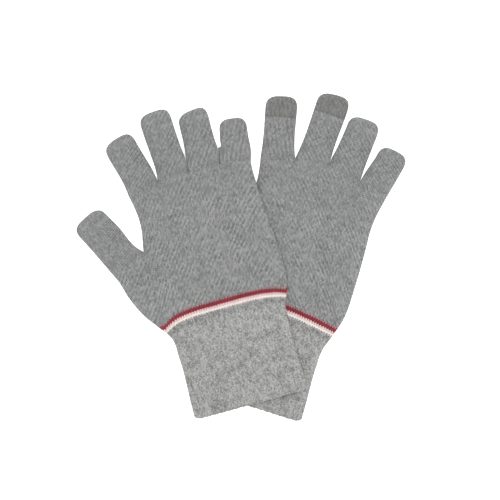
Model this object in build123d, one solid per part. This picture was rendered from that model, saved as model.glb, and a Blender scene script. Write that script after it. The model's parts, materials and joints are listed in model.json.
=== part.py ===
from build123d import *
import math
import os

# A pair of knitted touchscreen gloves laid flat, the right one back up on the palm-up left one.
# +Z is up from the table, +Y runs to the fingertips, +X to the left glove's little finger. Units are mm.

# Driving dimensions
THICK = 7.6          # one glove laid flat and empty, two walls and the air between them
WALL = 1.6           # knitted wall with its fuzz
GAP = 0.3            # space between pieces that move apart
LAP = THICK + GAP    # how far the upper glove is lifted where it lies on the lower one
RAMP = (-73.5, -43.5)  # x where the upper glove starts and stops climbing onto the lower one
DROOP = {"ring_finger": 9.0, "little_finger": 4.0}  # how far past its root a raised finger starts down
DROOP_RUN = 26.0     # length of the slope that brings it to the table
HEM_WIDTH = 96.0     # cuff opening
FOLD_WIDTH = 97.0    # cuff at the fold line
FOLD_Y = 68.0        # fold line above the hem
HEM_BAND = 5.0       # height up to which the cast-on edge reaches
RIGHT_HEM = -2.4     # height of each hem's edge
LEFT_HEM = -1.3
STRIPE_SAG = 8.6     # drop of the stripes' arc from the middle of the wrist to its sides
STRIPE_BAND = 3.9    # width of each stripe
TIP_PATCH = 18.0     # length of a conductive fingertip
TIP_ROUND = 0.36     # fingertip corner radius over its width

# Finger roots from the index finger's outer side to the little finger's, at x, y above the hem's middle
RIGHT_ROOTS = [(-52.8, 190.0), (-25.6, 195.8), (0.8, 196.6), (27.6, 195.4), (52.2, 191.2)]
LEFT_ROOTS = [(-50.0, 199.2), (-22.1, 205.6), (6.4, 205.0), (35.0, 203.2), (60.0, 198.0)]
THUMB_ROOT = [(-81.6, 129.4), (-53.6, 144.4)]

# Length past the root, and widths at the tip to the left and right of the digit's axis
RIGHT_FINGERS = [(47.4, 13.4, 12.8), (56.3, 13.2, 12.9), (49.2, 12.0, 13.2), (37.2, 10.3, 12.6)]
LEFT_FINGERS = [(50.7, 13.4, 12.8), (60.7, 12.2, 13.9), (50.3, 12.5, 13.7), (36.9, 11.2, 13.0)]
THUMB = (52.0, 13.9, 15.0)
FINGER_NAMES = ["index_finger", "middle_finger", "ring_finger", "little_finger"]
TOUCH_DIGITS = ["thumb", "index_finger", "middle_finger"]

# Sides of the hand between the wrist and the roots
THUMB_SIDE = [(-56.4, 78.0), (-66.9, 92.0), (-74.3, 108.0)]
RIGHT_INDEX_SIDE = (-49.0, 166.0)
LEFT_INDEX_SIDE = (-46.4, 174.0)
RIGHT_LITTLE_SIDE = [(52.6, 172.0), (54.6, 140.0), (53.8, 82.0)]
LEFT_LITTLE_SIDE = [(55.6, 172.0), (57.0, 122.0), (54.4, 84.0)]

REACH = 400.0  # larger than the pair


def digit_frame(root):
    """Location at the middle of a root line, with Y along the digit."""
    (x0, y0), (x1, y1) = root
    angle = math.degrees(math.atan2(y1 - y0, x1 - x0))
    return Pos((x0 + x1) / 2, (y0 + y1) / 2) * Rot(0, 0, angle)


def digit_face(root, size, start, inset):
    """A digit's plan from its root line to its rounded tip, in the glove's plane."""
    length, left, right = size
    root_half = math.dist(*root) / 2 - GAP / 2 - inset
    end = length - inset
    plan = make_face(
        Polyline(
            (-root_half, start),
            (root_half, start),
            (right - inset, end),
            (inset - left, end),
            close=True,
        )
    )
    corners = plan.vertices().sort_by(Axis.Y)[-2:]
    plan = fillet(corners, TIP_ROUND * (left + right) - inset)
    return digit_frame(root) * plan


def palm_face(roots, index_side, little_side):
    """The hand tube's plan from the fold line to the finger roots."""
    half = FOLD_WIDTH / 2
    sides = [
        Spline((-half, FOLD_Y), *THUMB_SIDE, THUMB_ROOT[0]),
        Line(THUMB_ROOT[0], THUMB_ROOT[1]),
        Spline(THUMB_ROOT[1], index_side, roots[0]),
        Polyline(*roots),
        Spline(roots[-1], *little_side, (half, FOLD_Y)),
        Line((half, FOLD_Y), (-half, FOLD_Y)),
    ]
    return make_face(Curve() + sides)


def cuff_face(inset, low):
    """The cuff's plan from the height low to the fold line."""
    bottom = HEM_WIDTH / 2 - inset
    top = FOLD_WIDTH / 2 - inset
    return make_face(Polyline((-bottom, low), (bottom, low), (top, FOLD_Y), (-top, FOLD_Y), close=True))


def wrist_disk(crest, extra):
    """A disk whose top edge is the stripes' arc, raised by extra."""
    chord = FOLD_WIDTH / 2 + 3
    radius = (chord**2 + STRIPE_SAG**2) / (2 * STRIPE_SAG)
    return Pos(0, crest - radius) * Circle(radius + extra)


def band(low, high):
    """Everything between two heights above the hem."""
    return Pos(0, (low + high) / 2) * Rectangle(REACH, high - low)


def layer(low, high, climbs):
    """The space between two levels of a glove, which climbs over the other glove if told to."""
    if not climbs:
        return Pos(0, 0, (low + high) / 2) * Box(2 * REACH, 2 * REACH, high - low)
    start, stop = RAMP
    profile = Polyline(
        (-REACH, low),
        (start, low),
        (stop, low + LAP),
        (REACH, low + LAP),
        (REACH, high + LAP),
        (stop, high + LAP),
        (start, high),
        (-REACH, high),
        close=True,
    )
    return extrude(Plane.XZ * make_face(profile), REACH, both=True)


def droop(place, root, start, low, high):
    """The space between two levels of a finger that comes down off the other glove to the table."""
    stop = start + DROOP_RUN
    profile = Polyline(
        (-REACH, low + LAP),
        (start, low + LAP),
        (stop, low),
        (REACH, low),
        (REACH, high),
        (stop, high),
        (start, high + LAP),
        (-REACH, high + LAP),
        close=True,
    )
    return place * digit_frame(root) * extrude(Plane.YZ * make_face(profile), REACH, both=True)


def glove(side, place, roots, fingers, index_side, little_side, hem, crest, climbs, palm_up, free):
    """All of one glove's pieces by name, with free naming the ones that move against the hand."""
    digits = {"thumb": (THUMB_ROOT, THUMB)}
    for number, name in enumerate(FINGER_NAMES):
        digits[name] = (roots[number : number + 2], fingers[number])

    palm = palm_face(roots, index_side, little_side)
    hollow = (Pos(WALL, 0) * palm) & (Pos(-WALL, 0) * palm) & (Pos(0, -WALL) * palm)
    hollow += cuff_face(WALL, hem - WALL)
    for root, size in digits.values():
        hollow += digit_face(root, size, -2 * WALL, WALL)

    rib_top, white_top, red_top = [wrist_disk(crest, i * STRIPE_BAND) for i in range(3)]
    plans = {
        "hand": palm - red_top,
        "red_stripe": palm & (red_top - white_top),
        "white_stripe": palm & (white_top - rib_top),
        "wrist_rib": palm & rib_top,
        "cuff": cuff_face(0, hem) & band(HEM_BAND, FOLD_Y - (GAP if "cuff" in free else 0)),
        "cuff_hem": cuff_face(0, hem) & band(hem, HEM_BAND),
    }
    inside = extrude(place * hollow, REACH, both=True)
    air = inside & layer(WALL, THICK - WALL, climbs)
    shell = layer(0, THICK, climbs)
    pieces = {}
    for name, plan in plans.items():
        pieces[name] = (extrude(place * plan, REACH, both=True) & shell) - air

    palm_half = layer(THICK / 2, THICK, climbs) if palm_up else layer(0, THICK / 2, climbs)
    for name, (root, size) in digits.items():
        plan = digit_face(root, size, GAP if name in free else 0, 0)
        if climbs and name in DROOP:
            outside = droop(place, root, DROOP[name], 0, THICK)
            within = inside & droop(place, root, DROOP[name], WALL, THICK - WALL)
        else:
            outside = shell
            within = air
        solid = (extrude(place * plan, REACH, both=True) & outside) - within
        if name in TOUCH_DIGITS:
            past = digit_frame(root) * Pos(0, size[0]) * Rectangle(REACH, 2 * TIP_PATCH)
            patch = extrude(place * (plan & past), REACH, both=True) & palm_half
            pieces[name.replace("_finger", "") + "_tip"] = solid & patch
            solid -= patch
        pieces[name] = solid
    return {f"{side}_{name}": piece for name, piece in pieces.items()}


pair = glove(
    "left",
    Pos(4.1, -123.4) * Rot(0, 0, -17.5),
    LEFT_ROOTS,
    LEFT_FINGERS,
    LEFT_INDEX_SIDE,
    LEFT_LITTLE_SIDE,
    LEFT_HEM,
    crest=80.8,
    climbs=False,
    palm_up=True,
    free=FINGER_NAMES,
)
pair |= glove(
    "right",
    Pos(8.2, -121.4) * Rot(0, 0, 15.5),
    RIGHT_ROOTS,
    RIGHT_FINGERS,
    RIGHT_INDEX_SIDE,
    RIGHT_LITTLE_SIDE,
    RIGHT_HEM,
    crest=83.2,
    climbs=True,
    palm_up=False,
    free=["thumb", "cuff", *FINGER_NAMES],
)

box = Compound([solid for piece in pair.values() for solid in piece.solids()]).bounding_box()
home = Pos(-box.center().X, -box.center().Y, -box.min.Z)
os.makedirs("parts", exist_ok=True)
for name, piece in pair.items():
    export_step(home * piece, f"parts/{name}.step")
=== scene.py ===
import json
import math
from functools import partial

import bpy
import numpy as np
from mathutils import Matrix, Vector
from mathutils.geometry import delaunay_2d_cdt
from mathutils.kdtree import KDTree


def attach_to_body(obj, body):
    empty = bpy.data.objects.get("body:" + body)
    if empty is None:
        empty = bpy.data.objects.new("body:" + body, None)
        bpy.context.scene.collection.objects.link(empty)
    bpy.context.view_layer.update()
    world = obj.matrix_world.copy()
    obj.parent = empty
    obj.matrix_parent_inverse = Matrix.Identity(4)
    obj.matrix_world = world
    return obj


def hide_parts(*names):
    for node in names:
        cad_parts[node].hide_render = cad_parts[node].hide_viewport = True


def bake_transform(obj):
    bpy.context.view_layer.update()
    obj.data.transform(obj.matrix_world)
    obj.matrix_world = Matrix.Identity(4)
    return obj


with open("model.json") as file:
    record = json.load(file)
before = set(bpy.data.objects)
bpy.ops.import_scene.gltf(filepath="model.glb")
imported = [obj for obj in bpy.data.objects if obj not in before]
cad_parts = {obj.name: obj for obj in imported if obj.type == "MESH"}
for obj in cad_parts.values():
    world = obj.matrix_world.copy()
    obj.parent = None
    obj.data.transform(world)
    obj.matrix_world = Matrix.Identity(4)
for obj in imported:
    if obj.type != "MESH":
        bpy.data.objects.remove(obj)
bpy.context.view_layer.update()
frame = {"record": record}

scene = bpy.context.scene

# A pair of knitted gloves lying flat. Lengths below are in mm, in each glove's own plane:
# x across the hand, y from the hem to the fingertips, with the origin at the middle of the wrist's base.
MM = 0.001

# The cloth
FOLD_R = 1.5               # radius at which the cloth turns over at an edge
PUFF = 3.9                 # loft between the two sheets in the hand and the fingers
PUFF_RUN = 11.0            # depth from the edge at which the loft is full
CUFF_PUFF = 2.4            # loft in the ribbed cuff
CUFF_PUFF_RUN = (60, 110)  # heights between which it grows to the hand's
MOUTH_PUFF = 0.7           # more loft at the cuff's mouth
MOUTH_RUN = (24, 0)        # heights between which it comes in
PALM_SAG = 0.9             # less loft in the middle of the palm
SAG_DEPTHS = (13, 38)      # depths from the edge between which it comes in
SAG_HEIGHTS = (70, 90)     # and heights
WALL = 1.2                 # knitted wall seen at the cuff's mouth
WALE = 2.2                 # width of a stitch
COURSE = 1.8               # height of a stitch
STRIPE_ROWS = 2            # rows of stitches in each stripe
DIGIT_ROW = 100            # number of a digit's first row
RIB = 6.0                  # rib spacing on the cuffs
SHEEN_LINE_WAVES = (0.739, 0.461)  # waves per mm behind the painted sheen lines of lit stitch legs: along the CAD's x, across stitches

# The cloth's relief: heights, then wavelengths
WRINKLES = ((0.26, 30), (0.11, 10))  # everywhere
CUFF_WRINKLE = (0.22, 11)            # more of them across the cuff
CUFF_WRINKLE_RUN = (80, 60)          # heights between which they come in
GATHERS = (0.2, 8.5)                 # folds that run up from the stripes
GATHER_BAND = (4, 12)                # their middle and spread above the stripes
GATHER_SWAY = (2, 25)                # how far they wander sideways
RIB_RISE = 0.14
CREASE = 0.8                         # depth of the grooves below the slits between fingers
CREASE_WIDTH, CREASE_RUN = 1.6, 13   # their width and length
RELIEF_LIMITS = (-1.2, 0.5)

# The meshes
EDGE_STEPS = np.array([0.03, 0.15, 0.4, 0.8, 1.5, 2.6, 4.0])   # depths of points where the cloth turns over
ON_EDGE = 0.004                                                # nearer to the outline than this is on it
GRID, SEAM_STEP, OUTLINE_STEP, TIP_STEP = 1.35, 1.3, 1.0, 0.9  # spacing of the other points
ROOM = 0.45                                                    # and their least distance from a line
COLUMNS = 168                                                  # points across a row round the wrist

# The hand
LAP = 7.9                 # rise of the upper glove over the lower one
RAMP = (-77.6, -47.6)     # x from the lower glove's origin where that rise starts and ends
FOLD_Y = 68.0             # height of the line on which the cuff folds
HEM_BAND = 5.0            # top of the cast-on band
CUFF_HALF = 48.0          # half width of the cuff
STRIPE_HALF = 50.0        # half width of the stripes
THUMB_ROOT = [(-80.7, 127.6), (-52.7, 142.6)]
THUMB_SIDE = [(-47.2, 50.0), (-49.0, 67.5), (-56.0, 77.2), (-66.9, 92.0), (-74.3, 108.0)]
TIP_PATCH = 18.0          # length of a conductive fingertip
TIP_CURVE = 11.5          # length over which a fingertip rounds off
TIP_POWER = 3.1           # squareness of that curve
SLIT = 0.24               # gap between fingers that lie side by side
DROOP_RUN = 26.0          # length over which a raised finger comes down to the table
BEND_RUN = 16.0           # length of cloth past a hinge line
THUMB_HINGE = 2.0         # where the thumb's hinge line lies, past its root line

FINGERS = ["index_finger", "middle_finger", "ring_finger", "little_finger"]
TOUCH = {"thumb": "thumb_tip", "index_finger": "index_tip", "middle_finger": "middle_tip"}
TIP_DIGITS = {tip: digit for digit, tip in TOUCH.items()}

# Each digit: length past its root line, slant of its tip, then for its left and its right side
# half widths at distances along it, and the half width where the tip starts to round
THUMB = (54.0, -0.03, ([(16, 15.0)], 14.0), ([(7, 14.2), (30, 15.3)], 15.1))

# Each glove:
#   mouth, hem: heights of the CAD cuff's mouth and of the knitted hem
#   roots: the ends of the four fingers' root lines
#   fingers: each as said above
#   partings, joined: by root, where fingers side by side come apart, and where they stop being one cloth
#   index_side, little_side: points on the hand's two edges
#   crest, stripe_fall: top of the stripes' lower edge, then its fall and its power to the left and right
#   palm_up: whether its palm faces up
#   droop: how far along a raised finger starts down to the table
#   moving: the pieces that are baked in place instead of following their CAD body
#   seed: of its wrinkles
GLOVES = {
    "left": {
        "mouth": -1.3,
        "hem": -0.9,
        "roots": [(-50.0, 199.2), (-22.1, 205.6), (6.4, 205.0), (35.0, 203.2), (60.0, 198.0)],
        "partings": {2: (6.5, 212.8)},
        "joined": {2: (6.45, 209.6)},
        "fingers": [
            (50.7, 0.04, ([(8, 13.7)], 13.6), ([(10, 13.1)], 12.8)),
            (60.7, 0.09, ([(10, 13.2)], 12.5), ([(18, 13.7)], 14.4)),
            (50.3, 0.04, ([(20, 13.5)], 12.6), ([(7, 14.0)], 13.9)),
            (36.9, 0.05, ([(8, 12.8)], 11.5), ([(10, 13.0)], 13.2)),
        ],
        "index_side": [(-46.6, 174.0)],
        "little_side": [
            (55.7, 172.0), (56.7, 147.0), (57.4, 118.0), (56.2, 90.0),
            (51.2, 73.0), (47.2, 60.5), (46.6, 46.0),
        ],
        "crest": 80.6,
        "stripe_fall": ((5.6, 5.0), (5.6, 1.6)),
        "palm_up": True,
        "droop": {},
        "moving": FINGERS,
        "seed": 3,
    },
    "right": {
        "mouth": -2.4,
        "hem": -1.6,
        "roots": [(-52.2, 190.0), (-25.6, 195.8), (0.8, 196.6), (27.6, 195.4), (53.0, 191.0)],
        "partings": {2: (1.6, 205.4), 3: (29.5, 208.6)},
        "joined": {},
        "fingers": [
            (47.4, 0.06, ([(8, 12.8)], 13.6), ([(8, 14.1)], 12.9)),
            (56.3, 0.03, ([(9, 12.3), (24, 12.6)], 13.3), ([(20, 13.6)], 13.0)),
            (49.2, 0.16, ([(18, 12.1)], 12.1), ([(20, 14.0)], 13.3)),
            (37.2, 0.05, ([(14, 11.1), (20, 10.8)], 10.5), ([(6, 13.7)], 12.7)),
        ],
        "index_side": [(-49.2, 166.0)],
        "little_side": [(52.6, 172.0), (54.6, 140.0), (53.8, 82.0), (48.6, 68.0), (47.4, 50.0)],
        "crest": 80.6,
        "stripe_fall": ((5.6, 5.0), (4.2, 4.0)),
        "palm_up": False,
        "droop": {"ring_finger": 9.0, "little_finger": 4.0},
        "moving": ["thumb", "cuff"] + FINGERS,
        "seed": 8,
    },
}

# Where each glove lies: its cuff mouth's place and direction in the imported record
mounts = {m["name"]: m for m in frame["record"]["mounts"]}
for side, facts in GLOVES.items():
    mount = mounts[f"{side}_cuff_mouth"]
    out = np.array(mount["axis"][:2])
    facts["turn"] = np.array([[-out[1], -out[0]], [out[0], -out[1]]])
    facts["origin"] = np.array(mount["pos_m"][:2]) / MM - facts["turn"] @ [0, facts["mouth"]]
lower_origin = GLOVES["left"]["origin"]


# ---------------------------------------------------------------- camera
def add_camera(middle, height, lens):
    """Straight above the pair, with the cuffs at the bottom of the picture."""
    data = bpy.data.cameras.new("camera")
    data.lens = lens
    data.sensor_width = 36
    data.dof.use_dof = False
    camera = bpy.data.objects.new("camera", data)
    scene.collection.objects.link(camera)
    camera.location = (*(middle * MM), height)
    scene.camera = camera


add_camera(middle=lower_origin + [3.4, 126.9], height=1.152, lens=100)


# ---------------------------------------------------------------- plane geometry
def ease(t):
    """0 up to t = 0 and 1 from t = 1, smoothly between."""
    t = np.clip(t, 0.0, 1.0)
    return t * t * (3 - 2 * t)


def ramp(value, start, end):
    """0 where value is at start, 1 where it is at end, smoothly between."""
    return ease((value - start) / (end - start))


def resample(points, step):
    """Points about step apart along a polyline, ends kept."""
    points = np.asarray(points, float)
    gone = np.r_[0, np.cumsum(np.linalg.norm(np.diff(points, axis=0), axis=1))]
    at = np.linspace(0, gone[-1], max(1, int(round(gone[-1] / step))) + 1)
    return np.c_[np.interp(at, gone, points[:, 0]), np.interp(at, gone, points[:, 1])]


def smooth_curve(points, start_way=None, end_way=None):
    """A smooth curve through points, with its end directions where given."""
    p = np.asarray(points, float)
    span = np.linalg.norm(np.diff(p, axis=0), axis=1)
    way = np.diff(p, axis=0) / span[:, None]
    slope = np.zeros_like(p)
    weight = span[1:, None], span[:-1, None]
    slope[1:-1] = (way[:-1] * weight[0] + way[1:] * weight[1]) / (weight[0] + weight[1])
    slope[0] = way[0] if start_way is None else start_way
    slope[-1] = way[-1] if end_way is None else end_way
    out = []
    for i, size in enumerate(span):
        t = np.linspace(0, 1, 24, endpoint=i == len(span) - 1)[:, None]
        out.append(
            (2 * t**3 - 3 * t**2 + 1) * p[i]
            + (t**3 - 2 * t**2 + t) * slope[i] * size
            + (3 * t**2 - 2 * t**3) * p[i + 1]
            + (t**3 - t**2) * slope[i + 1] * size
        )
    return np.vstack(out)


def nearest(points, line):
    """Distance from each point to a polyline, and the nearest point on it."""
    tree = KDTree(len(line))
    for i, p in enumerate(line):
        tree.insert((*p, 0), i)
    tree.balance()
    near = np.array([[hit[1] for hit in tree.find_n((*p, 0), 4)] for p in points])
    first = np.clip(np.concatenate([near - 1, near], axis=1), 0, len(line) - 2)
    a = line[first]
    ab = line[first + 1] - a
    p = points[:, None, :]
    t = np.clip(((p - a) * ab).sum(2) / np.maximum((ab**2).sum(2), 1e-12), 0, 1)
    q = a + t[..., None] * ab
    gap = ((p - q) ** 2).sum(2)
    best = gap.argmin(1)
    rows = np.arange(len(points))
    return np.sqrt(gap[rows, best]), q[rows, best]


def inside(points, loop):
    """Which points a closed loop holds."""
    x, y = points[:, 0], points[:, 1]
    hit = np.zeros(len(points), bool)
    for (x0, y0), (x1, y1) in zip(loop, np.roll(loop, -1, axis=0)):
        if y0 != y1:
            hit ^= ((y0 > y) != (y1 > y)) & (x < (x1 - x0) * (y - y0) / (y1 - y0) + x0)
    return hit


def ripple(points, seed, wave):
    """A smooth random field of about unit size: twenty waves in random directions."""
    count = 20
    rng = np.random.default_rng(seed)
    turn = rng.uniform(0, 2 * math.pi, count)
    size = 2 * math.pi / (wave * rng.uniform(0.6, 1.6, count))
    shift = rng.uniform(0, 2 * math.pi, count)
    phase = points[:, :1] * (size * np.cos(turn)) + points[:, 1:2] * (size * np.sin(turn)) + shift
    return np.cos(phase).sum(1) / math.sqrt(count / 2)


def edge_spaced(size, count):
    """Distances from 0 to size, closer together near both ends, where the cloth turns over."""
    edge = np.r_[0, EDGE_STEPS[:-1]]
    mid = np.linspace(EDGE_STEPS[-1], size - EDGE_STEPS[-1], count)
    return np.r_[edge, mid, (size - edge)[::-1]]


def stations(a, b):
    """Points from a to b, closer together near both ends."""
    size = np.linalg.norm(b - a)
    at = edge_spaced(size, int((size - 2 * EDGE_STEPS[-1]) / SEAM_STEP))
    return a + (at / size)[:, None] * (b - a)


def turned(d):
    """0 at the very edge, 1 where the cloth has turned over and lies level."""
    return np.sqrt(1 - (1 - np.clip(d / FOLD_R, 0, 1)) ** 2)


def cloth_past(d):
    """How much longer the cloth is than its plan, from the edge to depth d."""
    return FOLD_R * np.arccos(1 - np.clip(d / FOLD_R, 0, 1)) - np.minimum(d, FOLD_R)


# Rows across a glove are functions that give y at x
def level(height):
    return lambda x: height + 0 * x


def raised(row, rise):
    return lambda x: row(x) + rise


def mixed(low, high, t):
    return lambda x: (1 - t) * low(x) + t * high(x)


def between(low, high, count, inset=0.0):
    """Rows stepping evenly from one to another, with the inset of the cloth there."""
    return [(mixed(low, high, t), inset) for t in np.linspace(0, 1, count)]


def rim(edge, top):
    """The hem's rows: up inside, over its rounded edge and up outside."""
    rows = [(top, WALL)]
    for turn in np.linspace(math.pi, 0, 7):
        rows.append((raised(edge, WALL / 2 * (1 - math.sin(turn))), WALL / 2 * (1 - math.cos(turn))))
    return rows + between(raised(edge, WALL / 2), top, 6)[1:]


class Digit:
    """A finger or thumb in the glove's plane: s runs along it from its root line, x across it."""

    def __init__(self, root, facts, partings=(None, None), joined=(None, None)):
        a, b = np.array(root[0], float), np.array(root[1], float)
        self.middle = (a + b) / 2
        self.across = (b - a) / np.linalg.norm(b - a)
        self.along = np.array([-self.across[1], self.across[0]])
        self.a = a if joined[0] is None else np.array(joined[0])
        self.b = b if joined[1] is None else np.array(joined[1])
        self.hinge = max(self.into(np.array([self.a, self.b]))[:, 1])
        self.length, self.slant, left, right = facts
        self.sides = [self.side(-1, left, partings[0]), self.side(1, right, partings[1])]

    def out(self, points):
        """Points in (x, s) as points in the glove's plane."""
        return self.middle + points[:, :1] * self.across + points[:, 1:] * self.along

    def into(self, points):
        """Points in the glove's plane as (x, s)."""
        v = points - self.middle
        return np.c_[v @ self.across, v @ self.along]

    def side(self, sign, widths, parting):
        """One side from the root to the middle of the tip, in (x, s)."""
        root = self.into(np.array([self.a if sign < 0 else self.b]))[0]
        lower, shoulder = widths
        points = [(sign * half, s) for s, half in lower]
        points.append((sign * shoulder, self.length - TIP_CURVE))
        if parting is None:
            flank = smooth_curve([root, *points], None, (0, 1))
        else:
            fork = self.into(np.array([parting]))[0] - [sign * SLIT / 2, 0]
            way = (fork - root) / np.linalg.norm(fork - root)
            flank = np.vstack([root, smooth_curve([fork, *points], way, (0, 1))])
        turn = np.linspace(0, math.pi / 2, 40)[1:]
        x = shoulder * np.cos(turn) ** (2 / TIP_POWER)
        s = self.length - TIP_CURVE + TIP_CURVE * np.sin(turn) ** (2 / TIP_POWER)
        lean = self.slant * sign * x * ease(np.sin(turn) * 1.2)
        return np.vstack([flank, np.c_[sign * x, s + lean]])

    def cut(self, side):
        """A side split at the conductive patch's line."""
        low = side[side[:, 1] < self.patch_s]
        high = side[side[:, 1] > self.patch_s]
        x = np.interp(self.patch_s, [low[-1, 1], high[0, 1]], [low[-1, 0], high[0, 0]])
        return low, np.array([x, self.patch_s]), high

    @property
    def patch_s(self):
        return self.length - TIP_PATCH

    def outline(self):
        """From the root's left end round the tip to its right end, with points on the patch's line."""
        parts = []
        for side in self.sides:
            low, mark, high = self.cut(side)
            low = resample(np.vstack([low, mark]), OUTLINE_STEP)
            parts.append(np.vstack([low, resample(np.vstack([mark, high]), TIP_STEP)[1:]]))
        left, right = parts
        return self.out(np.vstack([left[:-1], right[::-1]]))

    def patch_line(self):
        ends = self.out(np.array([self.cut(side)[1] for side in self.sides]))
        return stations(ends[0], ends[1])


# ---------------------------------------------------------------- one glove
class Glove:
    """One glove: its outline in its own plane, its relief and its meshes."""

    def __init__(self, side, facts):
        self.side, self.facts = side, facts
        self.origin, self.turn = facts["origin"], facts["turn"]
        roots, partings = facts["roots"], facts["partings"]
        self.digits = {"thumb": Digit(THUMB_ROOT, THUMB)}
        self.digits["thumb"].hinge = THUMB_HINGE
        for i, name in enumerate(FINGERS):
            ends = [(part.get(i), part.get(i + 1)) for part in (partings, facts["joined"])]
            self.digits[name] = Digit(roots[i : i + 2], facts["fingers"][i], *ends)
        thumb, index, little = (self.digits[n] for n in ("thumb", "index_finger", "little_finger"))
        low = facts["hem"] - 3
        left = [(-CUFF_HALF, low), (-CUFF_HALF, 4.0), *THUMB_SIDE, thumb.a]
        right = [little.b, *facts["little_side"], (CUFF_HALF, 4.0), (CUFF_HALF, low)]
        self.left_side = smooth_curve(left, (0, 1), thumb.along)
        self.web_side = smooth_curve([thumb.b, *facts["index_side"], index.a], None, index.along)
        self.right_side = smooth_curve(right, -little.along, (0, -1))
        self.outline = np.vstack(
            [
                resample(self.left_side, OUTLINE_STEP),
                thumb.outline()[1:],
                resample(self.web_side, OUTLINE_STEP)[1:],
                *[self.digits[n].outline()[1:] for n in FINGERS],
                resample(self.right_side, OUTLINE_STEP)[1:],
            ]
        )
        self.columns = edge_spaced(2 * CUFF_HALF, COLUMNS) / (2 * CUFF_HALF)

    def tilt(self, part):
        """Direction across a part's stitches, from the CAD frame's x."""
        across = self.turn @ (self.digits[part].across if part in self.digits else np.array([1.0, 0.0]))
        return math.atan2(across[1], across[0])

    def placed(self, points, z):
        """Points in the glove's plane at height z, as metres in the CAD's frame."""
        return np.c_[points @ self.turn.T + self.origin, z] * MM

    def arc(self, x, rows=0):
        """Height of the stripes' lower edge, raised by some rows of stitches."""
        (left, left_power), (right, right_power) = self.facts["stripe_fall"]
        share = np.abs(x) / CUFF_HALF
        fall = np.where(x < 0, left * share**left_power, right * share**right_power)
        return self.facts["crest"] - fall + rows * COURSE

    def row(self, height):
        """One row of points across the glove, where height gives y at x."""
        ends = []
        for side in (self.left_side, self.right_side[::-1]):
            x = side[0, 0]
            for _ in range(20):
                x = 0.5 * x + 0.5 * np.interp(height(x), side[:, 1], side[:, 0])
            ends.append(float(x))
        x = ends[0] + self.columns * (ends[1] - ends[0])
        return np.c_[x, height(x)]

    def floor(self, points, digit):
        """Height of the glove's underside."""
        if self.side == "left":
            return np.zeros(len(points))
        if digit in self.facts["droop"]:
            s = self.digits[digit].into(points)[:, 1]
            start = self.facts["droop"][digit]
            return LAP * (1 - ramp(s, start, start + DROOP_RUN))
        x = (points @ self.turn.T + self.origin)[:, 0] - lower_origin[0]
        return LAP * ramp(x, *RAMP)

    def loft(self, points, d, digit):
        """How far the upper sheet stands above the lower one, besides the folded edge."""
        y = points[:, 1]
        share = np.clip(d / PUFF_RUN, 0, 1)
        dome = 2 * share - share**2
        if digit:
            return PUFF * dome
        puff = CUFF_PUFF + (PUFF - CUFF_PUFF) * ramp(y, *CUFF_PUFF_RUN)
        mouth = MOUTH_PUFF * ramp(y, *MOUTH_RUN)
        sag = PALM_SAG * ramp(d, *SAG_DEPTHS) * ramp(y, *SAG_HEIGHTS)
        return (puff + mouth) * dome - sag

    def creases(self, points):
        """Grooves that run on from between the fingers into the hand."""
        deep = np.zeros(len(points))
        for one, other in zip(FINGERS[:-1], FINGERS[1:]):
            way = -(self.digits[one].along + self.digits[other].along) / 2
            v = points - self.digits[one].b
            gone = v @ way
            off = v @ [way[1], -way[0]]
            strength = CREASE * ramp(gone, -1, 0) * ramp(gone, CREASE_RUN, 0)
            deep += strength * np.exp(-((off / CREASE_WIDTH) ** 2))
        return deep

    def relief(self, points, d, kind):
        """Wrinkles and ribs on the upper sheet."""
        x, y = points[:, 0], points[:, 1]
        seed = self.facts["seed"]
        lift = sum(size * ripple(points, seed + i, wave) for i, (size, wave) in enumerate(WRINKLES))
        above = y - self.arc(np.clip(x, -STRIPE_HALF, STRIPE_HALF), 2 * STRIPE_ROWS)
        middle, spread = GATHER_BAND
        sway, sway_wave = GATHER_SWAY
        size, wave = GATHERS
        gather = size * np.exp(-(((above - middle) / spread) ** 2))
        lift += gather * np.cos(2 * math.pi * (x + sway * ripple(points, seed + 2, sway_wave)) / wave)
        lift -= self.creases(points)
        size, wave = CUFF_WRINKLE
        lift += size * ripple(points * [0.45, 1.0], seed + 3, wave) * ramp(y, *CUFF_WRINKLE_RUN)
        if kind == "rib":
            lift += RIB_RISE * np.cos(2 * math.pi * x / RIB)
        return np.clip(lift, *RELIEF_LIMITS) * turned(d / 2)

    def surface(self, points, upper, digit=None, kind="knit", inset=0.0):
        """The cloth over points: places in the CAD's frame, knit coordinates and depth from the edge."""
        d, foot = nearest(points, self.outline)
        away = foot - points
        size = np.maximum(np.linalg.norm(away, axis=1), 1e-6)[:, None]
        away = np.where(d[:, None] > ON_EDGE, away / size, 0.0)
        flat = turned(d)
        if upper:
            shape = self.loft(points, d, digit) + self.relief(points, d, kind)
            z = FOLD_R * (1 + flat) + shape - inset * flat
        else:
            z = FOLD_R * (1 - flat) + inset * flat
        moved = points - away * (inset * (1 - flat))[:, None]
        knit = points + away * (cloth_past(FOLD_R) - cloth_past(d))[:, None]
        if digit:
            knit = self.digits[digit].into(knit) + [0, DIGIT_ROW * COURSE]
        else:
            x = np.clip(knit[:, 0], -STRIPE_HALF - 2, STRIPE_HALF + 2)
            crest = self.facts["crest"]
            knit[:, 1] += (crest - self.arc(x)) * ramp(knit[:, 1], 0, crest) - crest
        return self.placed(moved, z + self.floor(points, digit)), knit, d

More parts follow.
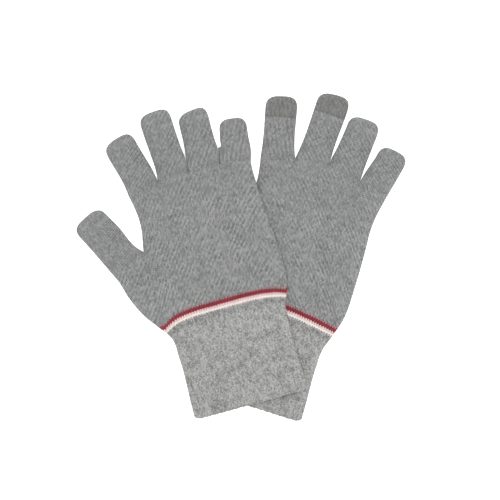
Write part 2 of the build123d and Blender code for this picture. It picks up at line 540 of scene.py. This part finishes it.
    # ---- meshes
    def fill(self, loop, lines=()):
        """Triangles over a closed loop, finer near the glove's outline."""
        low, high = loop.min(0), loop.max(0)
        xs = np.arange(low[0], high[0], GRID)
        ys = np.arange(low[1], high[1], GRID * 0.866)
        gx, gy = np.meshgrid(xs, ys)
        gx = gx + np.where(np.arange(len(ys)) % 2, GRID / 2, 0)[:, None]
        free = np.c_[gx.ravel(), gy.ravel()]
        free = free[inside(free, loop)]
        free = free[nearest(free, self.outline)[0] > EDGE_STEPS[-1] + 0.5 * GRID]
        on_edge = nearest(loop, self.outline)[0] < ON_EDGE
        way = (np.roll(loop, -1, axis=0) - np.roll(loop, 1, axis=0))[on_edge]
        way /= np.linalg.norm(way, axis=1)[:, None]
        area = (loop[:, 0] * np.roll(loop[:, 1], -1) - np.roll(loop[:, 0], -1) * loop[:, 1]).sum()
        inward = np.c_[-way[:, 1], way[:, 0]] * np.sign(area)
        rings = [free]
        for depth in EDGE_STEPS:
            ring = loop[on_edge] + inward * depth
            ring = ring[inside(ring, loop)]
            d = nearest(ring, self.outline)[0]
            rings.append(ring[abs(d - depth) < 0.04 * depth + ON_EDGE])
        free = np.vstack(rings)
        room = np.minimum(ROOM, 0.9 * nearest(free, self.outline)[0])
        for line in [np.vstack([loop, loop[:1]]), *lines]:
            keep = nearest(free, line)[0] > room
            free, room = free[keep], room[keep]
        points = [loop]
        edges = [(i, (i + 1) % len(loop)) for i in range(len(loop))]
        count = len(loop)
        for line in lines:
            hold = [int(np.argmin(((loop - end) ** 2).sum(1))) for end in (line[0], line[-1])]
            own = [hold[0], *range(count, count + len(line) - 2), hold[1]]
            points.append(line[1:-1])
            edges += list(zip(own[:-1], own[1:]))
            count += len(line) - 2
        points.append(free)
        points = [tuple(p) for p in np.vstack(points)]
        verts, _, faces, *_ = delaunay_2d_cdt(points, edges, [], 1, 1e-5)
        flat, faces = np.array([tuple(v) for v in verts]), np.array([tuple(f) for f in faces])
        a, b, c = (flat[faces[:, i]] for i in range(3))
        cross = (b[:, 0] - a[:, 0]) * (c[:, 1] - a[:, 1]) - (b[:, 1] - a[:, 1]) * (c[:, 0] - a[:, 0])
        faces[cross < 0] = faces[cross < 0][:, ::-1]
        return flat, faces

    def two_sheets(self, name, loop, digit=None, patch=None):
        """A closed pocket over a loop, with its conductive patch as a piece of its own."""
        flat, faces = self.fill(loop, [self.digits[digit].patch_line()] if patch else [])
        top, knit_top, d = self.surface(flat, True, digit)
        low, knit_low, _ = self.surface(flat, False, digit)
        count = len(flat)
        under = np.where(d < ON_EDGE, np.arange(count), np.arange(count) + count)
        coords = np.vstack([top, low])
        knit = np.vstack([knit_top, knit_low])
        upper, lower = faces, under[faces][:, ::-1]
        if not patch:
            return [(name, coords, knit, np.vstack([upper, lower]))]
        palm, back = (upper, lower) if self.facts["palm_up"] else (lower, upper)
        patch_s = self.digits[digit].patch_s
        past = self.digits[digit].into(flat[palm % count].mean(1))[:, 1] > patch_s
        return [
            (name, coords, knit, np.vstack([palm[~past], back])),
            (patch, coords, knit - [0, patch_s + DIGIT_ROW * COURSE], palm[past]),
        ]

    def band(self, rows, kind):
        """A tube round the glove over (row, inset) pairs, seen from outside as they climb."""
        lines = [(self.row(row), inset) for row, inset in rows]
        sheets = []
        for upper in (True, False):
            made = [self.surface(line, upper, None, kind, inset) for line, inset in lines]
            sheets.append((np.array([m[0] for m in made]), np.array([m[1] for m in made])))
        (top, knit_top), (low, knit_low) = sheets
        coords = np.concatenate([top, low[:, -2:0:-1]], axis=1)
        knit = np.concatenate([knit_top, knit_low[:, -2:0:-1]], axis=1)
        index = np.arange(coords.shape[0] * coords.shape[1]).reshape(coords.shape[:2])
        right = np.roll(index, -1, axis=1)
        quads = np.stack([index[:-1], right[:-1], right[1:], index[1:]], axis=-1).reshape(-1, 4)
        return coords.reshape(-1, 3), knit.reshape(-1, 2), quads

    def scallop(self, x):
        """The hem's edge, dipping at each rib and rounded at its corners."""
        corner = 2.4 * np.clip((np.abs(x) - CUFF_HALF + 5.0) / 5.0, 0, 1) ** 2.5
        return self.facts["hem"] + corner - 0.5 * np.abs(np.cos(math.pi * x / RIB)) ** 0.7

    def tubes(self):
        """The cuff and the stripes, as pieces round the wrist."""
        hem_top, fold = level(HEM_BAND), level(FOLD_Y)
        white, red, hand = (partial(self.arc, rows=r) for r in (0, STRIPE_ROWS, 2 * STRIPE_ROWS))
        outside = self.band(between(hem_top, fold, 46), "rib")
        lining = self.band(between(level(FOLD_Y - 2), hem_top, 30, WALL), "rib")
        cuff = [np.vstack([o, i]) for o, i in zip(outside[:2], lining[:2])]
        cuff.append(np.vstack([outside[2], lining[2] + len(outside[0])]))
        return {
            "cuff_hem": self.band(rim(self.scallop, hem_top), "rib"),
            "cuff": cuff,
            "wrist_rib": self.band(between(fold, white, 10), "rib"),
            "white_stripe": self.band(between(white, red, 5), "knit"),
            "red_stripe": self.band(between(red, hand, 5), "knit"),
        }

    def build(self):
        """Every piece of the glove: its part's name, points, knit coordinates and faces."""
        parts = [(name, *made) for name, made in self.tubes().items()]
        bottom = self.row(partial(self.arc, rows=2 * STRIPE_ROWS))
        left = resample(self.left_side[self.left_side[:, 1] > bottom[0, 1] + 0.5], OUTLINE_STEP)
        right = resample(self.right_side[self.right_side[:, 1] > bottom[-1, 1] + 0.5], OUTLINE_STEP)
        root_lines = {name: stations(d.a, d.b) for name, d in self.digits.items()}
        web = resample(self.web_side, OUTLINE_STEP)
        loop = [bottom[::-1], left, root_lines["thumb"][1:], web[1:]]
        loop += [root_lines[name][1:] for name in FINGERS] + [right[1:]]
        parts += self.two_sheets("hand", np.vstack(loop))
        for name, digit in self.digits.items():
            loop = np.vstack([root_lines[name][::-1], digit.outline()[1:-1]])
            parts += self.two_sheets(name, loop, name, TOUCH.get(name))
        return parts


# ---------------------------------------------------------------- materials
class Value:
    """A shader node's output, with arithmetic that adds Math nodes."""

    def __init__(self, nodes, socket):
        self.nodes, self.socket = nodes, socket

    def math(self, operation, *others):
        return self.nodes.math(operation, self, *others)

    def __add__(self, other):
        return self.math("ADD", other)

    def __sub__(self, other):
        return self.math("SUBTRACT", other)

    def __rsub__(self, other):
        return self.nodes.math("SUBTRACT", other, self)

    def __mul__(self, other):
        return self.math("MULTIPLY", other)


class Nodes:
    """A short way to write a material's node tree."""

    def __init__(self, name, **settings):
        self.material = bpy.data.materials.new(name)
        self.material.use_nodes = True
        self.tree = self.material.node_tree
        self.shader = next(n for n in self.tree.nodes if n.type == "BSDF_PRINCIPLED")
        for key, value in settings.items():
            self.shader.inputs[key.replace("_", " ")].default_value = value

    def put(self, socket, value):
        if isinstance(value, Value):
            self.tree.links.new(value.socket, socket)
        else:
            socket.default_value = value

    def math(self, operation, *values):
        node = self.tree.nodes.new("ShaderNodeMath")
        node.operation = operation
        for socket, value in zip(node.inputs, values):
            self.put(socket, value)
        return Value(self, node.outputs[0])

    def add(self, kind, **values):
        """A node of any kind: names in capitals are its inputs, the others its properties."""
        node = self.tree.nodes.new(kind)
        for key, value in values.items():
            if key[0].islower():
                setattr(node, key, value)
            else:
                self.put(node.inputs[key], value)
        return Value(self, node.outputs[0])

    def noise(self, name, at):
        scale, detail, roughness = NOISES[name]
        return self.add("ShaderNodeTexNoise", Vector=at, Scale=scale, Detail=detail, Roughness=roughness)

    def split(self, vector):
        node = self.tree.nodes.new("ShaderNodeSeparateXYZ")
        self.put(node.inputs[0], vector)
        return Value(self, node.outputs[0]), Value(self, node.outputs[1])

    def mix(self, share, a, b):
        node = self.tree.nodes.new("ShaderNodeMix")
        node.data_type = "RGBA"
        for socket, value in ((0, share), (6, a), (7, b)):
            self.put(node.inputs[socket], value)
        return Value(self, node.outputs[2])


YARNS = {  # darkest and lightest fibres of each yarn
    "grey": ((0.095, 0.098, 0.096), (0.345, 0.352, 0.347)),
    "light": ((0.097, 0.097, 0.095), (0.472, 0.472, 0.462)),
    "conductive": ((0.08, 0.08, 0.077), (0.26, 0.26, 0.253)),
    "red": ((0.11, 0.013, 0.021), (0.295, 0.036, 0.052)),
    "blush": ((0.155, 0.06, 0.07), (0.43, 0.19, 0.21)),
    "white": ((0.62, 0.53, 0.49), (0.86, 0.80, 0.76)),
}
NOISES = {  # scale in stitches, detail and roughness
    "wobble": (0.3, 2.0, 0.5),   # stitches out of line
    "fibre": (1.6, 3.0, 0.7),    # light and dark fibres in the yarn
    "fuzz": (7.0, 2.0, 0.5),     # loose fibres, as bumps
    "cloud": (0.05, 3.0, 0.5),   # broad lighter and darker areas
    "drift": (0.12, 1.0, 0.5),   # where the painted sheen lines are strong
    "streak": (1.0, 1.0, 0.5),   # rows of lighter and darker yarn
    "grain": (1.4, 2.0, 0.6),    # the cuff's coarser grain
    "mottle": (0.27, 1.0, 0.5),  # and its mottling
}
TONES = {  # how much each thing lightens or darkens the yarn
    "leg": 0.52,
    "fibre": 0.7,
    "cloud": 0.3,
    # painted sheen on the stitch legs that face the light
    "line": 0.54,
    "streak": 0.4,
    "grain": 1.3,
    "mottle": 0.6,
    "rib": 0.025,
    # painted shade of the groove where the cuff is drawn in below the stripes
    "painted_gather_shade": 0.19,
    # painted shade: the yarn is darker where it lies low between loops
    "height": 0.4,
    "digit": 0.02,
    "seam": 0.2,
}
LEG_RISE = 1.5                         # how steeply a stitch's legs rise, in courses per wale
EVENNESS = 0.2                         # how much less the tone varies in the digits
GATHER_SHADE_ROW, GATHER_SHADE_RUN = 1.9, 1.4  # middle and spread of the painted shade where the cuff is drawn in below the stripes, in rows
BUMP = {"Distance": 0.0006, "Strength": 0.9}


def stitches(u, v):
    """V-shaped stitches over u and v: the row that each leg belongs to, and the yarn's height."""
    across = (u.math("FRACT") - 0.5).math("ABSOLUTE")
    row = v - (across - 0.25) * LEG_RISE
    phase = row.math("FRACT") * 2.0 - 1.0
    strand = 1.0 - phase * phase
    groove = (across * (2 * math.pi)).math("SINE").math("MAXIMUM", 0.0).math("POWER", 0.6)
    return row, strand.math("POWER", 0.6) * (groove * 0.5 + 0.5)


def cuff_tone(n, tone, uv, u, v):
    """A coarser grain, faint ribs and a painted shade line where the cuff is drawn in below the stripes."""
    tone = tone + (n.noise("grain", uv) - 0.5) * TONES["grain"]
    tone = tone + (n.noise("mottle", uv) - 0.5) * TONES["mottle"]
    tone = tone + (u * (2 * math.pi * WALE / RIB)).math("SINE") * TONES["rib"]
    past = (v + GATHER_SHADE_ROW) * (1 / GATHER_SHADE_RUN)
    # painted shade: a darker band in the first rows below the stripes, where the cuff is drawn in
    return tone - (past * past * -1.0).math("EXPONENT") * TONES["painted_gather_shade"]


def hand_streaks_and_painted_sheen(n, tone, uv, u, v, wobble, contrast):
    """Painted sheen: slanting lines of lit stitch legs that come and go; and streaks along the rows."""
    phase = n.split(n.add("ShaderNodeUVMap", uv_map="lines"))[0] + wobble * 0.5
    strength = ((n.noise("drift", uv) - 0.3) * (TONES["line"] * contrast)).math("MAXIMUM", 0.0)
    # painted sheen: lighter slanting lines, in a direction held to the CAD's x
    tone = tone + (phase * (2 * math.pi)).math("SINE") * strength
    along_rows = n.add("ShaderNodeCombineXYZ", X=u * 0.1, Y=v * 0.5)
    return tone + (n.noise("streak", along_rows) - 0.5) * TONES["streak"]


BELOW, FROM = "LESS_THAN", "GREATER_THAN"


def knit_material(name, yarn, other_rows=(), ribbed=False, contrast=1.0):
    """Jersey stitches in one yarn. other_rows say what is mixed in below or from a row, and its share."""
    n = Nodes(name, Roughness=0.92, Sheen_Weight=0.12, Sheen_Roughness=0.45, Specular_IOR_Level=0.2)
    uv = n.add("ShaderNodeUVMap", uv_map="knit")
    wobble = n.noise("wobble", uv) - 0.5
    u, v = n.split(uv)
    u, v = u + wobble * 0.8, v + wobble * 0.5
    stitch, height = stitches(u, v)
    row = stitch.math("FLOOR")
    cell = n.add("ShaderNodeCombineXYZ", X=(u * 2.0).math("FLOOR"), Y=row)
    leg = n.add("ShaderNodeTexWhiteNoise", noise_dimensions="2D", Vector=cell)
    tone = (leg - 0.5) * (TONES["leg"] * contrast)
    tone = tone + (n.noise("fibre", uv) - 0.5) * (TONES["fibre"] * contrast)
    tone = tone + (n.noise("cloud", uv) - 0.5) * TONES["cloud"]
    if ribbed:
        tone = cuff_tone(n, tone, uv, u, v)
    else:
        tone = hand_streaks_and_painted_sheen(n, tone, uv, u, v, wobble, contrast)
    # painted shade in the grooves between loops, from the yarn's height
    tone = tone + (height - 0.6) * TONES["height"]
    if not ribbed:
        digit = v.math("GREATER_THAN", DIGIT_ROW / 2)
        tone = tone * (1.0 - digit * EVENNESS) - digit * TONES["digit"]
    tone = (tone + 0.5).math("MAXIMUM", 0.0).math("MINIMUM", 1.0)

    def dyed(yarn_name):
        dark, light = YARNS[yarn_name]
        return n.mix(tone, (*dark, 1), (*light, 1))

    colour = dyed(yarn)
    for side, first, other, share in other_rows:
        colour = n.mix(row.math(side, first - 0.5) * share, colour, dyed(other))
    if yarn == "conductive":
        seam = stitch.math("LESS_THAN", 1.0) * TONES["seam"]
        colour = n.mix(seam, colour, (*YARNS[yarn][0], 1))
    n.put(n.shader.inputs["Base Color"], colour)
    height = height + n.noise("fuzz", uv) * 0.25
    n.put(n.shader.inputs["Normal"], n.add("ShaderNodeBump", Height=height, **BUMP))
    return n.material


# First rows of the red stripe and of the hand, counted from the white stripe's first
RED, GREY = STRIPE_ROWS, 2 * STRIPE_ROWS
KNITS = {
    "grey_knit": {
        "yarn": "grey",
        "other_rows": [(BELOW, GREY + 1, "blush", 0.7), (BELOW, GREY, "red", 1.0)],
    },
    "light_rib_knit": {
        "yarn": "light",
        "other_rows": [(FROM, 0, "white", 1.0)],
        "ribbed": True,
        "contrast": 0.8,
    },
    "conductive_knit": {"yarn": "conductive", "contrast": 0.8},
    "red_yarn": {
        "yarn": "red",
        "other_rows": [(BELOW, RED, "white", 1.0), (FROM, GREY, "grey", 1.0)],
        "contrast": 0.6,
    },
    "white_yarn": {
        "yarn": "white",
        "other_rows": [(BELOW, 0, "light", 1.0), (FROM, RED - 1, "red", 0.3), (FROM, RED, "red", 1.0)],
        "contrast": 0.6,
    },
}
MATERIALS = {name: knit_material(name, **knit) for name, knit in KNITS.items()}


# ---------------------------------------------------------------- pieces
def make_mesh(name, coords, knit, faces, tilt):
    """A smooth mesh with two UV layers: stitches, and the painted sheen lines of their lit legs."""
    used, flat = np.unique(faces.ravel(), return_inverse=True)
    faces = flat.reshape(faces.shape)
    mesh = bpy.data.meshes.new(name)
    mesh.from_pydata(coords[used].tolist(), [], faces.tolist())
    corners = knit[used][faces.ravel()]
    long, short = SHEEN_LINE_WAVES
    wave = np.array([long * math.cos(tilt) - short, -long * math.sin(tilt)])
    lines = np.c_[corners @ wave, corners @ [-wave[1], wave[0]]]
    for layer, uv in (("knit", corners / [WALE, COURSE]), ("lines", lines)):
        mesh.uv_layers.new(name=layer).data.foreach_set("uv", uv.astype(np.float32).ravel())
    mesh.polygons.foreach_set("use_smooth", [True] * len(mesh.polygons))
    mesh.update()
    obj = bpy.data.objects.new(name, mesh)
    scene.collection.objects.link(obj)
    return obj


def slot_of(part):
    if part in ("cuff", "cuff_hem", "wrist_rib"):
        return "light_rib_knit"
    if part in TIP_DIGITS:
        return "conductive_knit"
    return {"red_stripe": "red_yarn", "white_stripe": "white_yarn"}.get(part, "grey_knit")


def attach(obj, glove, part):
    """The piece follows its CAD body; a moving digit's or cuff's piece has the ends of its hinge line
    worked out and its transform baked into its mesh instead.
    """
    home = f"{glove.side}_glove"
    moving = glove.facts["moving"]
    digit = TIP_DIGITS.get(part, part)
    if digit in glove.digits and digit in moving:
        d = glove.digits[digit]
        start = d.middle + d.along * d.hinge
        ends = glove.placed(np.array([start, start + d.along * BEND_RUN]), np.zeros(2))
        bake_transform(obj)
    elif part in ("cuff", "cuff_hem") and "cuff" in moving:
        ends = glove.placed(np.array([(0, FOLD_Y), (0, FOLD_Y - BEND_RUN)]), np.zeros(2))
        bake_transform(obj)
    else:
        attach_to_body(obj, home)


for side, facts in GLOVES.items():
    glove = Glove(side, facts)
    for part, coords, knit, faces in glove.build():
        name = f"{side}_{part}"
        tilt = glove.tilt(TIP_DIGITS.get(part, part))
        obj = make_mesh(name + "_cloth", coords, knit, faces, tilt)
        slot = slot_of(part)
        obj.data.materials.append(MATERIALS[slot])
        attach(obj, glove, part)
        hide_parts(name)


# ---------------------------------------------------------------- floor and light
def add_floor(half):
    mesh = bpy.data.meshes.new("floor")
    corners = [(-half, -half, 0), (half, -half, 0), (half, half, 0), (-half, half, 0)]
    mesh.from_pydata(corners, [], [(0, 1, 2, 3)])
    floor = bpy.data.objects.new("floor", mesh)
    scene.collection.objects.link(floor)
    paint = Nodes(
        "floor",
        Base_Color=(0.95, 0.95, 0.95, 1),
        Roughness=1.0,
        Specular_IOR_Level=0.0,
        Emission_Color=(1, 1, 1, 1),
        Emission_Strength=0.6,
    )
    mesh.materials.append(paint.material)


def add_light(place, size, power):
    data = bpy.data.lights.new("key", "AREA")
    data.shape = "SQUARE"
    data.size = size
    data.energy = power
    lamp = bpy.data.objects.new("key", data)
    scene.collection.objects.link(lamp)
    lamp.location = place
    lamp.rotation_euler = (-Vector(place)).to_track_quat("-Z", "Y").to_euler()


def add_world(strength):
    world = bpy.data.worlds.new("world")
    scene.world = world
    world.use_nodes = True
    background = next(n for n in world.node_tree.nodes if n.type == "BACKGROUND")
    background.inputs["Color"].default_value = (1, 1, 1, 1)
    background.inputs["Strength"].default_value = strength


add_floor(half=3.0)
add_light(place=(0.15, 0.1, 1.85), size=1.3, power=30)
add_world(strength=0.75)
scene.view_settings.view_transform = "Standard"
scene.view_settings.look = "None"
